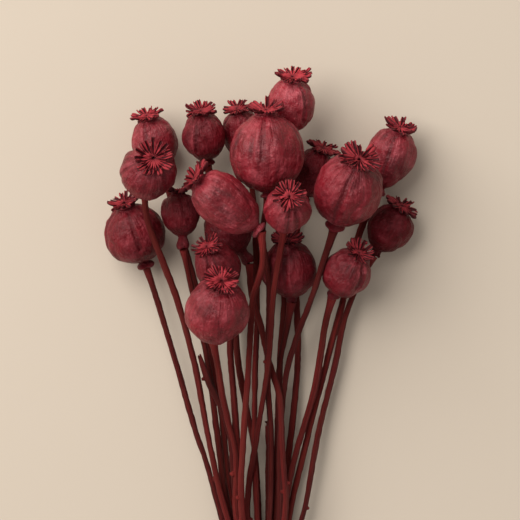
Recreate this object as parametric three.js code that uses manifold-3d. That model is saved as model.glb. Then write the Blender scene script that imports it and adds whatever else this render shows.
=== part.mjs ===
// A tied bunch of dyed, dried poppy seed heads, lying on a flat surface.
// Units are millimetres. +Z is up, +Y points from the cut stem ends to the seed heads.
import * as THREE from 'three';
import { mergeVertices } from 'three/addons/utils/BufferGeometryUtils.js';
import Module from 'manifold-3d';

const wasm = await Module();
wasm.setup();

// Driving dimensions of the stems and the tie.
const STEM_RADIUS = 2.15;
const STEM_SIDES = 6;
const STEM_STEPS = 15;
const STEM_GAP = 0.5; // clear space kept between two stems
const HEAD_GAP = 0.3; // clear space between a stem's top and the seed head on it
const COURSE_POINTS = 72; // along each stem, while the stems are settled
const NECK_STRAIGHT = 4.8; // how far a stem runs straight out of its seed head
const CUT_END_Y = -92; // where the shortest stems are cut, measured from the tie
const CUT_STAGGER = 16; // how far the longest stems reach past the shortest
const FLARE = 1.25; // how much wider the bundle is at the cut ends than at the tie
const TIE_HALF_WIDTH = 7;
const TIE_THICKNESS = 2.6;
const TIE_STRAIGHT = 13; // how far the stems run straight on each side of the tie's middle
const TIE_SIDES = 24;
const TIE_GAP = 0.5;

// Driving dimensions that every seed head shares.
const POD_SEGMENTS = 12;
const STIPE_RADIUS = 3; // the short stalk between a pod and its collar
const NECK_LENGTH = 1;
const CROWN_THICKNESS = 3.4;
const RAY_WIDTH = 2.5;

// The outline of a pod: [share of its length from the base, share of its half width].
const POD_PROFILE = [
  [0, 0.26],
  [0.06, 0.52],
  [0.2, 0.82],
  [0.38, 0.98],
  [0.56, 1],
  [0.74, 0.91],
  [0.9, 0.69],
  [1, 0.42],
];

// Each seed head: the middle of its pod, its width and length, the diameter and number of
// rays of its crown, how far it leans sideways and tips up off the surface, in degrees, how
// pear-shaped it is, the length of the short stalk under it and the radius of the collar at the
// bottom of that. The route lists where its stem goes on the way to the tie.
const HEADS = [
  {
    at: [-65, 290, 17], width: 27.6, length: 30, crown: 21, rays: 13,
    lean: -16, nod: 20, pear: 0, stipe: 4, collar: 4.2,
    route: [
      [-57.5, 263, 8], [-51, 240, 8], [-41, 205, 9], [-34, 178, 10], [-30, 152, 10], [-25, 128, 10],
      [-21, 86, 10], [-16, 62, 10],
    ],
  },
  {
    at: [-35, 293, 27], width: 26, length: 29, crown: 20.4, rays: 15,
    lean: -6, nod: 26, pear: 0, stipe: 4, collar: 4.8,
    route: [
      [-31.5, 267, 14], [-27.5, 255, 8], [-24, 240, 2.6], [-21, 226, 2.4], [-19, 210, 4],
      [-16, 174, 8], [-13, 145, 9], [-8, 122, 9], [-5, 107, 10], [-2, 62, 9],
    ],
  },
  {
    at: [-11.5, 295, 15], width: 25.2, length: 30, crown: 19.8, rays: 13,
    lean: -13, nod: 26, pear: 0, stipe: 4, collar: 4.2,
    route: [
      [-6, 266, 4], [-5, 250, 4.5], [-4, 236, 5], [-3, 200, 8], [-3, 182, 11], [-4, 157, 13],
      [-4, 140, 13], [-5, 116, 12.5], [-3, 62, 15],
    ],
  },
  {
    at: [17.5, 311.5, 28], width: 28.8, length: 32.4, crown: 24.6, rays: 16,
    lean: 3, nod: 24, pear: 0, stipe: 4, collar: 4.2,
    route: [
      [16.5, 284, 17], [17, 262, 16], [15, 240, 7], [14.5, 226, 3], [14, 205, 2.4],
      [13.5, 182, 3.5], [11, 157, 5], [10, 116, 6], [7, 62, 6],
    ],
  },
  {
    at: [3, 281.5, 46.5], width: 44, length: 44.4, crown: 24, rays: 13,
    lean: -1, nod: 9, pear: 0, stipe: 4, collar: 4.4,
    route: [
      [0, 240, 36], [2.5, 227, 36], [5, 209, 35], [5.5, 194, 32], [5, 170, 26], [4.5, 146, 21],
      [6, 116, 18], [5, 62, 16],
    ],
  },
  {
    at: [77.5, 280, 15], width: 29.4, length: 36, crown: 23.4, rays: 11,
    lean: 18, nod: 14, pear: 0.35, stipe: 5.5, collar: 4.6,
    route: [
      [67, 249, 7.5], [60, 236, 6], [54, 212, 6], [50, 194, 7], [46, 182, 8], [40, 157, 8],
      [29, 116, 8], [23, 91, 8], [16, 62, 8],
    ],
  },
  {
    at: [51, 259.5, 50], width: 40.2, length: 43.6, crown: 27.6, rays: 14,
    lean: 19, nod: 37, pear: 0, stipe: 7, collar: 6.2,
    route: [
      [42, 229, 32.5], [35, 209, 35], [26, 182, 28], [18.5, 166, 21], [13.5, 140, 20],
      [11, 116, 19], [10.5, 62, 18],
    ],
  },
  {
    at: [31, 271, 14.5], width: 27.6, length: 29, crown: 22.8, rays: 15,
    lean: 22, nod: 18, pear: 0, stipe: 4, collar: 4.2,
    route: [
      [21.8, 244, 6], [21, 226, 3.5], [20.5, 212, 2.8], [21.5, 199, 3], [21.5, 182, 5],
      [22, 158, 7], [20, 132, 8], [16, 95, 9], [12, 62, 9],
    ],
  },
  {
    at: [-67, 270.5, 60], width: 33.3, length: 31.2, crown: 25.8, rays: 16,
    lean: 25, nod: 63, pear: 0, stipe: 2.5, collar: 3.6,
    route: [
      [-71.5, 256, 37.5], [-70, 249, 38], [-67, 236, 38], [-64, 228, 35], [-55, 207, 30],
      [-47, 182, 26], [-40, 157, 23], [-33, 116, 19], [-27, 86, 17], [-21, 62, 16],
    ],
  },
  {
    at: [-21, 251.5, 57], width: 31.4, length: 43, crown: 26.4, rays: 14,
    lean: -52, nod: 8, pear: 0.35, stipe: 4.5, collar: 5.2,
    route: [
      [4.5, 226, 51.5], [2, 219, 49.5], [-2, 211, 46], [-4.5, 202, 41.5], [-6, 188, 38],
      [-8, 157, 34], [-9, 140, 32], [-11, 116, 29], [-12, 95, 27], [-12, 62, 25],
    ],
  },
  {
    at: [-49, 245.5, 30], width: 23.7, length: 25.2, crown: 16.8, rays: 12,
    lean: -5, nod: 0, pear: 0.3, stipe: 8, collar: 3.8,
    route: [
      [-47, 224, 27], [-45, 213, 24], [-42.5, 201, 19], [-36, 172, 16], [-33, 157, 14],
      [-29, 128, 13], [-26, 107, 12], [-25, 91, 12], [-19, 62, 12],
    ],
  },
  {
    at: [-77, 234, 19], width: 37.2, length: 34.8, crown: 21.6, rays: 13,
    lean: -18, nod: 20, pear: 0, stipe: 5, collar: 5.4,
    route: [
      [-67.2, 205, 9.5], [-64.8, 197, 10], [-60.3, 182, 10.5], [-50.4, 149, 10], [-41, 116, 10],
      [-31, 86, 12], [-25, 62, 13],
    ],
  },
  {
    at: [15, 248, 66], width: 27.6, length: 26.4, crown: 21.6, rays: 14,
    lean: 8, nod: 60, pear: 0, stipe: 2, collar: 3.4,
    route: [
      [13, 233, 46.2], [11.5, 226, 45.5], [10, 219, 45], [8, 208, 43.5], [6, 188, 40],
      [5, 170, 35], [4, 157, 31], [0, 132, 26], [-2, 116, 23], [-7, 91, 18], [-9, 62, 15],
    ],
  },
  {
    at: [16.5, 212.5, 23], width: 33, length: 33.6, crown: 22.8, rays: 13,
    lean: -4, nod: 20, pear: 0, stipe: 4, collar: 3,
    route: [
      [16.5, 182, 13.5], [11, 157, 15], [10, 149, 14], [10, 140, 13], [9, 100, 12], [8, 62, 12],
    ],
  },
  {
    at: [77, 237, 14.5], width: 27.9, length: 28.2, crown: 22.2, rays: 12,
    lean: 29, nod: 12, pear: 0.3, stipe: 4.5, collar: 3.5,
    route: [
      [63, 212, 9], [55, 196, 10], [50, 182, 10], [45, 157, 9], [35, 116, 9], [31, 95, 10],
      [28, 78, 11], [25, 62, 12],
    ],
  },
  {
    at: [51, 210.5, 29.5], width: 28.8, length: 30, crown: 20.4, rays: 12,
    lean: 30, nod: 34, pear: 0, stipe: 5, collar: 4.4,
    route: [
      [39.5, 187, 14], [38.5, 180, 14], [35, 157, 15], [32, 140, 14], [25, 116, 13], [18, 91, 12],
      [13, 62, 13],
    ],
  },
  {
    at: [-26.5, 188, 59.5], width: 37.8, length: 38.4, crown: 23.1, rays: 18,
    lean: 9, nod: 36, pear: 0, stipe: 2.5, collar: 3.8,
    route: [
      [-27.5, 160, 40], [-26, 152, 36], [-23, 132, 31], [-19, 116, 27], [-16, 103, 25],
      [-15.5, 91, 23], [-15, 62, 20],
    ],
  },
  {
    at: [-26.5, 215, 40], width: 27.6, length: 28.8, crown: 20.6, rays: 14,
    lean: -28, nod: 38, pear: 0, stipe: 4, collar: 4,
    route: [
      [-18.5, 190, 23], [-19.5, 170, 20], [-18, 145, 16], [-17, 132, 16], [-16, 116, 15],
      [-13, 62, 11],
    ],
  },
  {
    at: [-20.5, 236.5, 21], width: 28.8, length: 30, crown: 17.6, rays: 13,
    lean: -33, nod: 0, pear: 0, stipe: 9, collar: 3.8,
    route: [
      [-8, 211, 20], [-1, 178, 20], [5, 151, 21], [9.5, 138, 23], [11, 132, 24], [11.5, 116, 25],
      [13, 91, 26], [14, 62, 26],
    ],
  },
];

// Two stems whose seed heads were cut away. Each route starts at the cut top.
const CUT_STEMS = [
  [[-37, 158, 22], [-32.5, 145, 21], [-26, 132, 20], [-20, 116, 18], [-17, 91, 16], [-14, 62, 17]],
  [[3, 117, 12], [4, 105, 11], [3.5, 86, 10], [4, 62, 10]],
];

const degrees = THREE.MathUtils.degToRad;

function podAxis(head) {
  const lean = degrees(head.lean);
  const nod = degrees(head.nod);
  return new THREE.Vector3(
    Math.sin(lean) * Math.cos(nod),
    Math.cos(lean) * Math.cos(nod),
    Math.sin(nod),
  );
}

// Where the stem meets the underside of the collar.
function neckPoint(head) {
  const reach = head.length / 2 + head.stipe + HEAD_GAP;
  return new THREE.Vector3(...head.at).addScaledVector(podAxis(head), -reach);
}

function toSolid(geometry) {
  const bare = geometry.clone();
  bare.deleteAttribute('normal');
  bare.deleteAttribute('uv');
  const merged = mergeVertices(bare, 1e-4);
  return new wasm.Manifold(new wasm.Mesh({
    numProp: 3,
    vertProperties: new Float32Array(merged.attributes.position.array),
    triVerts: new Uint32Array(merged.index.array),
  }));
}

function toGeometry(solid) {
  const mesh = solid.getMesh();
  const geometry = new THREE.BufferGeometry();
  geometry.setAttribute('position', new THREE.BufferAttribute(mesh.vertProperties, 3));
  geometry.setIndex(new THREE.BufferAttribute(mesh.triVerts, 1));
  geometry.computeVertexNormals();
  return geometry;
}

// The capsule with its stalk and collar below and the short neck that carries the crown, about +Y.
function capsuleGeometry(head) {
  const half = head.length / 2;
  const bottom = -half - head.stipe;
  const points = [
    new THREE.Vector2(0, bottom),
    new THREE.Vector2(head.collar * 0.8, bottom),
    new THREE.Vector2(head.collar, bottom + head.stipe * 0.3),
    new THREE.Vector2(Math.min(head.collar, STIPE_RADIUS), bottom + head.stipe * 0.75),
  ];
  for (const [along, out] of POD_PROFILE) {
    const shifted = along + head.pear * along * (1 - along);
    const radius = Math.max(out * head.width / 2, STIPE_RADIUS);
    points.push(new THREE.Vector2(radius, -half + shifted * head.length));
  }
  const neck = POD_PROFILE.at(-1)[1] * head.width / 2;
  const top = half + NECK_LENGTH + CROWN_THICKNESS / 2;
  points.push(new THREE.Vector2(neck, top), new THREE.Vector2(0, top));
  return new THREE.LatheGeometry(points, POD_SEGMENTS);
}

// The crown of stigma rays: a disc cut into narrow fingers, lying across the top of the pod.
function crownGeometry(head) {
  const outer = head.crown / 2;
  const inner = outer * 0.62;
  const tipAngle = RAY_WIDTH / 2 / outer;
  const outline = new THREE.Shape();
  for (let ray = 0; ray < head.rays; ray += 1) {
    const middle = 2 * Math.PI * ray / head.rays;
    const valley = middle - Math.PI / head.rays;
    const corners = [[inner, valley], [outer, middle - tipAngle], [outer, middle + tipAngle]];
    for (const [radius, angle] of corners) {
      const x = radius * Math.cos(angle);
      const y = radius * Math.sin(angle);
      if (ray === 0 && angle === valley) outline.moveTo(x, y);
      else outline.lineTo(x, y);
    }
  }
  outline.closePath();
  const crown = new THREE.ExtrudeGeometry(outline, {
    depth: CROWN_THICKNESS,
    bevelEnabled: false,
  });
  crown.rotateX(-Math.PI / 2);
  crown.translate(0, head.length / 2 + NECK_LENGTH, 0);
  return crown;
}

function seedHead(head, index) {
  const solid = toSolid(capsuleGeometry(head)).add(toSolid(crownGeometry(head)));
  const skin = new THREE.MeshStandardMaterial({ color: 0x8a3a40, roughness: 0.85, metalness: 0 });
  const mesh = new THREE.Mesh(toGeometry(solid), skin);
  mesh.name = `seed_head_${String(index + 1).padStart(2, '0')}`;
  mesh.position.set(...head.at);
  mesh.quaternion.setFromUnitVectors(new THREE.Vector3(0, 1, 0), podAxis(head));
  return mesh;
}

// Where each stem crosses the tie, as [x, z] about the bundle's middle: the stems keep the
// order in which they arrive, and are drawn together until they touch.
function packAtTie(routes) {
  const arrivals = routes.map((route) => route.at(-1));
  const middleX = arrivals.reduce((sum, p) => sum + p.x, 0) / arrivals.length;
  const middleZ = arrivals.reduce((sum, p) => sum + p.z, 0) / arrivals.length;
  const places = arrivals.map((p) => new THREE.Vector2(p.x - middleX, 1.6 * (p.z - middleZ)));
  const apart = 2 * STEM_RADIUS + STEM_GAP;
  const step = new THREE.Vector2();
  for (let round = 0; round < 600; round += 1) {
    for (const place of places) place.multiplyScalar(round < 500 ? 0.985 : 1);
    for (let a = 0; a < places.length; a += 1) {
      for (let b = a + 1; b < places.length; b += 1) {
        step.subVectors(places[a], places[b]);
        const distance = step.length() || 1e-6;
        if (distance < apart) {
          step.multiplyScalar((apart - distance) / (2 * distance));
          places[a].add(step);
          places[b].sub(step);
        }
      }
    }
  }
  return places;
}

// Even points along a smooth curve through the given ones.
function resample(points, count) {
  return new THREE.CatmullRomCurve3(points, false, 'centripetal').getSpacedPoints(count - 1);
}

// Settles the stems: none passes through another, through a seed head or into the surface.
function settle(stems) {
  const apart = 2 * STEM_RADIUS + STEM_GAP;
  const rest = stems.map((stem) => stem.map((point) => point.clone()));
  const push = new THREE.Vector3();
  const nearest = new THREE.Vector3();
  const segment = new THREE.Line3();
  const inverse = HEADS.map((head) => {
    const up = new THREE.Vector3(0, 1, 0);
    const turn = new THREE.Quaternion().setFromUnitVectors(up, podAxis(head));
    return { turn, back: turn.clone().invert(), middle: new THREE.Vector3(...head.at) };
  });
  const clearOfStem = (point, other) => {
    for (let i = 0; i + 1 < other.length; i += 1) {
      if (Math.abs(other[i].y - point.y) > 24) continue;
      segment.set(other[i], other[i + 1]);
      segment.closestPointToPoint(point, true, nearest);
      push.subVectors(point, nearest);
      const distance = push.length() || 1e-6;
      if (distance >= apart) continue;
      push.multiplyScalar(0.5 * (apart - distance) / distance);
      push.x *= 0.5;
      point.add(push);
      other[i].addScaledVector(push, -0.5);
      other[i + 1].addScaledVector(push, -0.5);
    }
  };
  const clearOfHead = (point, head, frame) => {
    push.subVectors(point, frame.middle);
    if (push.length() > head.length + 12) return;
    push.applyQuaternion(frame.back);
    const shapes = [
      [head.width / 2, head.length / 2 + 1.5, 0],
      [head.crown / 2, 3.2, head.length / 2 + NECK_LENGTH + CROWN_THICKNESS / 2],
    ];
    for (const [across, along, height] of shapes) {
      const reachAcross = across + STEM_RADIUS + STEM_GAP;
      const reachAlong = along + STEM_RADIUS + STEM_GAP;
      const inside = new THREE.Vector3(push.x / reachAcross, (push.y - height) / reachAlong,
        push.z / reachAcross);
      const share = inside.length() || 1e-6;
      if (share >= 1) continue;
      const out = new THREE.Vector3(push.x, push.y - height, push.z);
      out.multiplyScalar(0.4 * (1 / share - 1)).applyQuaternion(frame.turn);
      out.y *= 0.2;
      point.add(out);
    }
  };
  for (let round = 0; round < 260; round += 1) {
    stems.forEach((stem, a) => {
      for (let i = 2; i < stem.length - 2; i += 1) {
        stems.forEach((other, b) => { if (b !== a) clearOfStem(stem[i], other); });
        HEADS.forEach((head, b) => {
          if (b !== a) clearOfHead(stem[i], head, inverse[b]);
        });
        stem[i].z = Math.max(stem[i].z, STEM_RADIUS + 0.1);
      }
      const moved = stem.map((point, i) => point.clone().sub(rest[a][i]));
      for (let i = 0; i < stem.length; i += 1) {
        const pinned = i < 2 || stem[i].y < TIE_STRAIGHT;
        if (pinned) moved[i].set(0, 0, 0);
        const before = moved[Math.max(i - 1, 0)];
        const after = moved[Math.min(i + 1, moved.length - 1)];
        const smooth = moved[i].clone().multiplyScalar(0.6);
        smooth.addScaledVector(before, 0.2).addScaledVector(after, 0.2);
        if (!pinned) stem[i].copy(rest[a][i]).add(smooth);
        else stem[i].copy(rest[a][i]);
      }
    });
  }
  return stems;
}

// The whole course of every stem, from its top, through the tie, to its cut end.
function stemCourses() {
  const toVectors = (route) => route.map((point) => new THREE.Vector3(...point));
  const routes = [...HEADS.map((head) => toVectors(head.route)), ...CUT_STEMS.map(toVectors)];
  const slots = packAtTie(routes);
  const bundleRadius = Math.max(...slots.map((slot) => slot.length())) + STEM_RADIUS;
  const middle = bundleRadius + TIE_GAP + TIE_THICKNESS;
  const courses = routes.map((route, index) => {
    const head = HEADS[index];
    const slot = slots[index];
    const start = [];
    if (head) {
      const neck = neckPoint(head);
      for (const down of [0, NECK_STRAIGHT / 2, NECK_STRAIGHT]) {
        start.push(neck.clone().addScaledVector(podAxis(head), -down));
      }
    }
    const cut = CUT_END_Y - CUT_STAGGER * ((index * 7) % 11) / 11;
    const through = [26, TIE_STRAIGHT, 0, -TIE_STRAIGHT, cut].map((y, i) => {
      const spread = [1.1, 1, 1, 1, FLARE][i];
      const z = Math.max(middle + slot.y * spread, STEM_RADIUS + 0.1);
      return new THREE.Vector3(slot.x * spread, y, z);
    });
    return resample([...start, ...route, ...through], COURSE_POINTS);
  });
  return { courses: settle(courses), bundleRadius, middle };
}

function stemMesh(course, name) {
  const section = new THREE.Shape();
  for (let side = 0; side <= STEM_SIDES; side += 1) {
    const angle = 2 * Math.PI * side / STEM_SIDES;
    const x = STEM_RADIUS * Math.cos(angle);
    const y = STEM_RADIUS * Math.sin(angle);
    if (side === 0) section.moveTo(x, y);
    else section.lineTo(x, y);
  }
  const geometry = new THREE.ExtrudeGeometry(section, {
    steps: STEM_STEPS,
    extrudePath: new THREE.CatmullRomCurve3(course, false, 'centripetal'),
  });
  const bark = new THREE.MeshStandardMaterial({ color: 0x4e1b18, roughness: 0.7, metalness: 0 });
  const mesh = new THREE.Mesh(geometry, bark);
  mesh.name = name;
  return mesh;
}

// The tie, a band wound round the stems where they come together.
function tieMesh(bundleRadius, middle) {
  const inner = (bundleRadius + TIE_GAP) / Math.cos(Math.PI / TIE_SIDES);
  const outer = inner + TIE_THICKNESS;
  const profile = [
    new THREE.Vector2(inner, -TIE_HALF_WIDTH),
    new THREE.Vector2(outer, -TIE_HALF_WIDTH),
    new THREE.Vector2(outer, TIE_HALF_WIDTH),
    new THREE.Vector2(inner, TIE_HALF_WIDTH),
    new THREE.Vector2(inner, -TIE_HALF_WIDTH),
  ];
  const twine = new THREE.MeshStandardMaterial({ color: 0xb9996b, roughness: 0.9, metalness: 0 });
  const mesh = new THREE.Mesh(new THREE.LatheGeometry(profile, TIE_SIDES), twine);
  mesh.name = 'tie';
  mesh.position.set(0, 0, middle);
  return mesh;
}

function seedHeadBunch() {
  const { courses, bundleRadius, middle } = stemCourses();
  const bunch = new THREE.Group();
  HEADS.forEach((head, index) => {
    bunch.add(seedHead(head, index));
    bunch.add(stemMesh(courses[index], `stem_${String(index + 1).padStart(2, '0')}`));
  });
  CUT_STEMS.forEach((route, index) => {
    bunch.add(stemMesh(courses[HEADS.length + index], `cut_stem_${index + 1}`));
  });
  bunch.add(tieMesh(bundleRadius, middle));
  bunch.updateMatrixWorld(true);
  const box = new THREE.Box3().setFromObject(bunch, true);
  const centre = box.getCenter(new THREE.Vector3());
  bunch.position.set(-centre.x, -centre.y, -box.min.z);
  return bunch;
}

const bunch = new THREE.Group();
bunch.add(seedHeadBunch());

export default bunch;
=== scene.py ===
"""A tied bunch of dyed, dried poppy seed heads, modelled piece by piece on its CAD frame.

Run as a script in Blender 4.5. Lengths are metres, +Z is up, +Y points along the bunch from the
cut stem ends to the seed heads.
"""

import math
import random

import bmesh
import bpy
from mathutils import Matrix, Vector


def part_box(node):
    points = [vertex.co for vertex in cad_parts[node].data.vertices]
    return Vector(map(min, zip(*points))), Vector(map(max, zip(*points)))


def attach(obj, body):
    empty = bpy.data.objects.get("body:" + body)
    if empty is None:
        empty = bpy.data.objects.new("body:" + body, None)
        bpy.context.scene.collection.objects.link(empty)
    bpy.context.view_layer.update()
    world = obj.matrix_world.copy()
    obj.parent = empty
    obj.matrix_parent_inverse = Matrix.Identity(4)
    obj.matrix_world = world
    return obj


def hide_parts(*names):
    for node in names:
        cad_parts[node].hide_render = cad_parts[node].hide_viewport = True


bl_info = {
    "name": "Poppy seed head bunch",
    "version": (1, 0, 0),
    "blender": (4, 5, 0),
    "location": "View3D > Sidebar > Poppy",
    "description": "Models a tied bunch of dried poppy seed heads on its CAD frame",
    "category": "Add Mesh",
}

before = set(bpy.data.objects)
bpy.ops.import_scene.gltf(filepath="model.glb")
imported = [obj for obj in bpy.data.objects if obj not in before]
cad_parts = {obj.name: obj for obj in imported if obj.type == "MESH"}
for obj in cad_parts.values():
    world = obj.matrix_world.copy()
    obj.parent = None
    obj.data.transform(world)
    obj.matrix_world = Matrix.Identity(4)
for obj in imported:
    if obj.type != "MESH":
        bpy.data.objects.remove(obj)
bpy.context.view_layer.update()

MM = 0.001
ALIKE = 0.01 * MM  # CAD vertices closer than this are one
LEVEL = 0.1 * MM  # rings of a head's outline closer than this are one
FLAT = 0.2 * MM  # parallel CAD faces closer than this are one flat face
RING_GAP = 4 * MM  # the rings of a CAD stem stand further apart than this
HEAD_NODES = sorted(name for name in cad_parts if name.startswith("seed_head_"))
STEM_NODES = sorted(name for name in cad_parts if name.startswith("stem_"))
CUT_STEM_NODES = sorted(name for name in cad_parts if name.startswith("cut_stem_"))
TIE_NODE = "tie"
TIE_LOW, TIE_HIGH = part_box(TIE_NODE)
TIE_MIDDLE = (TIE_LOW + TIE_HIGH) / 2

# The rings of a head's measured outline below this one are its collar and short stalk.
POD_START = 3
COLUMNS_PER_RIB = 4

# The crown's disc: how far up from the top of the pod's neck it stands, and its rings from the
# edge inwards, as shares of the crown's radius, each with how far below the rays it lies.
CROWN_LIFT = 0.5 * MM
DISC_EDGE = ((1, 0.25 * MM), (1.04, 0.05 * MM), (1, -0.15 * MM))
DISC_INSIDE = ((0.3, 0), (0.1, 0.1 * MM))

# Rib strength at each height of a pod: from and to, as shares of its length, and how much.
RIB_BANDS = ((0.1, 0.35, 0.3), (0.35, 0.65, 0.6), (0.65, 0.85, 1.2), (0.85, 1.02, 2.5))

# The folded section of a ray: from and to, as shares of its width, and how far up, as a share
# of its thickness.
RAY_TOP_FOLD = ((0, 0.1, -1.1), (0.1, 0.25, -0.7), (0.25, 0.4, 0.35), (0.4, 0.6, -0.1))
RAY_UNDER_FOLD = ((0, 0.1, -0.9), (0.1, 0.25, -0.6))
PATTERN_RAYS = 14  # the number of rays that the modelled one is made to fit

# How many deep folds some pods have, and how many the others have.
FOLDS = {
    "seed_head_05": 5,
    "seed_head_10": 0,
    "seed_head_13": 6,
    "seed_head_17": 1,
}
USUAL_FOLDS = 2

# Where side shoots were pulled off: metres from the tie, and which side of the stem (-1 or 1).
SCARS = {
    "stem_07": ((0.089, 1),),
    "stem_10": ((0.076, -1),),
    "stem_12": ((0.085, 1),),
    "stem_13": ((0.158, -1), (0.062, 1)),
    "stem_15": ((0.068, 1),),
    "stem_17": ((0.09, -1),),
    "stem_19": ((0.084, 1), (0.08, -1)),
    "cut_stem_1": ((0.148, -1),),
}

STEM_SIDES = 16
STRANDS = 3
STRAND_SIDES = 8
STEPS_PER_TURN = 92
RED_TOP = 14 * MM  # how far down from its seed head a stem is redder

# How light the skin of each seed head is, from 0 to 1: its own tone, and painted shade where it
# lies in shadow.
SKIN_TONES_AND_SHADE = {
    "seed_head_01": 0.72,
    "seed_head_02": 0.25,
    "seed_head_03": 0.4,
    "seed_head_04": 0.95,
    "seed_head_05": 0.6,
    "seed_head_06": 0.6,
    "seed_head_07": 0.45,
    "seed_head_08": 0.1,
    "seed_head_09": 0.4,
    "seed_head_10": 0.7,
    "seed_head_11": 0.15,
    "seed_head_12": 0.3,
    "seed_head_13": 0.5,
    "seed_head_14": 0.2,
    "seed_head_15": 0.0,
    "seed_head_16": 0.4,
    "seed_head_17": 0.5,
    "seed_head_18": 0.3,
    "seed_head_19": 0.35,
}

# How far some crowns are bent up from their pod's axis, in degrees.
CROWN_TIP = {
    "seed_head_05": 14,
    "seed_head_06": 16,
    "seed_head_12": 14,
    "seed_head_15": 12,
    "seed_head_16": 10,
    "seed_head_17": 17,
}
USUAL_CROWN_TIP = 5

# The stage: the middle of the view, measured from the tie and up from the floor, and the key.
VIEW_ASIDE = -1.2 * MM
VIEW_ALONG = 218.4 * MM
VIEW_HEIGHT = 35 * MM
KEY_PLACE = Vector((-1.5, 1.15, 1.85))
KEY_SIZE = 2.7
KEY_COLOUR = (1.0, 0.965, 0.92)
FILL_COLOUR = (1.0, 0.96, 0.92, 1)
SENSOR_WIDTH = 36


# ---------------------------------------------------------------- what the frame measures


def node_points(node):
    """Every vertex of a CAD node, once."""
    seen = {}
    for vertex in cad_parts[node].data.vertices:
        key = tuple(round(c / ALIKE) for c in vertex.co)
        seen.setdefault(key, vertex.co.copy())
    return list(seen.values())


def crown_face(node):
    """The axis and the middle of a seed head's flat crown top, its largest flat face."""
    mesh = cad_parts[node].data
    flats = {}
    for polygon in mesh.polygons:
        normal = polygon.normal
        height = normal.dot(polygon.center)
        key = tuple(round(c, 2) for c in normal) + (round(height / FLAT),)
        flats.setdefault(key, []).append(polygon)
    best = max(flats.values(), key=lambda group: sum(p.area for p in group))
    area = sum(p.area for p in best)
    axis = sum((p.normal * p.area for p in best), Vector()).normalized()
    middle = sum((p.center * p.area for p in best), Vector()) / area
    return axis, middle


def measure_head(node):
    """A seed head's axis, foot, turned outline and crown, read from its CAD solid."""
    axis, crown_middle = crown_face(node)
    points = node_points(node)
    heights = [axis.dot(p - crown_middle) for p in points]
    lowest = min(heights)
    foot = crown_middle + axis * lowest
    rings = {}
    for point, height in zip(points, heights):
        radius = (point - crown_middle - axis * height).length
        level = round((height - lowest) / LEVEL)
        rings.setdefault(level, []).append(radius)
    levels = sorted(rings)
    outline = [(level * LEVEL, max(rings[level])) for level in levels]
    crown_top = outline[-1]
    crown_foot = outline[-2]
    # Each ray ends in two corners, and both are at the crown's full radius.
    tips = [r for r in rings[levels[-1]] if r > 0.985 * crown_top[1]]
    body = [ring for ring in outline[:-2] if ring[1] > 0.5 * MM]
    return {
        "axis": axis,
        "foot": foot,
        "outline": body,
        "crown_height": crown_foot[0],
        "crown_radius": crown_top[1],
        "rays": round(len(tips) / 2),
    }


def measure_stem(node):
    """The middle line of a stem, top first, and its radius, read from its CAD solid."""
    points = sorted(node_points(node), key=lambda p: -p.y)
    groups = [[points[0]]]
    for point in points[1:]:
        if groups[-1][-1].y - point.y > RING_GAP:
            groups.append([])
        groups[-1].append(point)
    line = [sum(group, Vector()) / len(group) for group in groups]
    radius = max((p - line[0]).length for p in groups[0])
    return line, radius


# ---------------------------------------------------------------- small modelling helpers


def start_clean():
    """Leaves edit mode and deselects everything."""
    if bpy.context.mode != "OBJECT":
        bpy.ops.object.mode_set(mode="OBJECT")
    bpy.ops.object.select_all(action="DESELECT")


def choose(*objects):
    """Selects these objects only, the first one active."""
    start_clean()
    for item in objects:
        item.select_set(True)
    bpy.context.view_layer.objects.active = objects[0]


def edit(item, select_mode="VERT"):
    """Opens an object in edit mode with nothing selected."""
    choose(item)
    bpy.ops.object.mode_set(mode="EDIT")
    bpy.ops.mesh.select_mode(type=select_mode)
    bpy.ops.mesh.select_all(action="DESELECT")


def pick(item, test):
    """In edit mode, selects the vertices whose place passes the test."""
    shape = bmesh.from_edit_mesh(item.data)
    shape.verts.ensure_lookup_table()
    for vertex in shape.verts:
        vertex.select = bool(test(vertex.co))
    shape.select_flush_mode()
    bmesh.update_edit_mesh(item.data)


def apply_modifier(item, kind, **settings):
    """Adds one modifier to an object and applies it."""
    choose(item)
    modifier = item.modifiers.new(kind.title(), kind)
    for key, value in settings.items():
        setattr(modifier, key, value)
    bpy.ops.object.modifier_apply(modifier=modifier.name)


def subdivide(item, levels):
    """Rounds a shape with the Subdivision Surface modifier."""
    apply_modifier(item, "SUBSURF", levels=levels, render_levels=levels)


def relief_texture(name, kind, size, depth):
    """A procedural pattern for the Displace modifier."""
    texture = bpy.data.textures.get(name) or bpy.data.textures.new(name, kind)
    texture.noise_scale = size
    if kind == "CLOUDS":
        texture.noise_depth = depth
    if kind == "MUSGRAVE":
        texture.musgrave_type = "RIDGED_MULTIFRACTAL"
        texture.octaves = depth
        texture.noise_intensity = 1.0
    return texture


def displace(item, texture, strength, along=None):
    """Moves a surface in and out by a pattern. along stretches the pattern, by an empty."""
    settings = {"texture": texture, "strength": strength, "mid_level": 0.5}
    if along is None:
        settings["texture_coords"] = "LOCAL"
    else:
        settings["texture_coords"] = "OBJECT"
        settings["texture_coords_object"] = along
    apply_modifier(item, "DISPLACE", **settings)


def set_in_place(item, matrix):
    """Moves a finished shape to its place and leaves its object at the origin."""
    choose(item)
    item.matrix_world = matrix
    bpy.ops.object.transform_apply(location=True, rotation=True, scale=True)


def outward(item):
    """Turns every face to point outwards."""
    edit(item)
    bpy.ops.mesh.select_all(action="SELECT")
    bpy.ops.mesh.normals_make_consistent(inside=False)
    bpy.ops.object.mode_set(mode="OBJECT")


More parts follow.
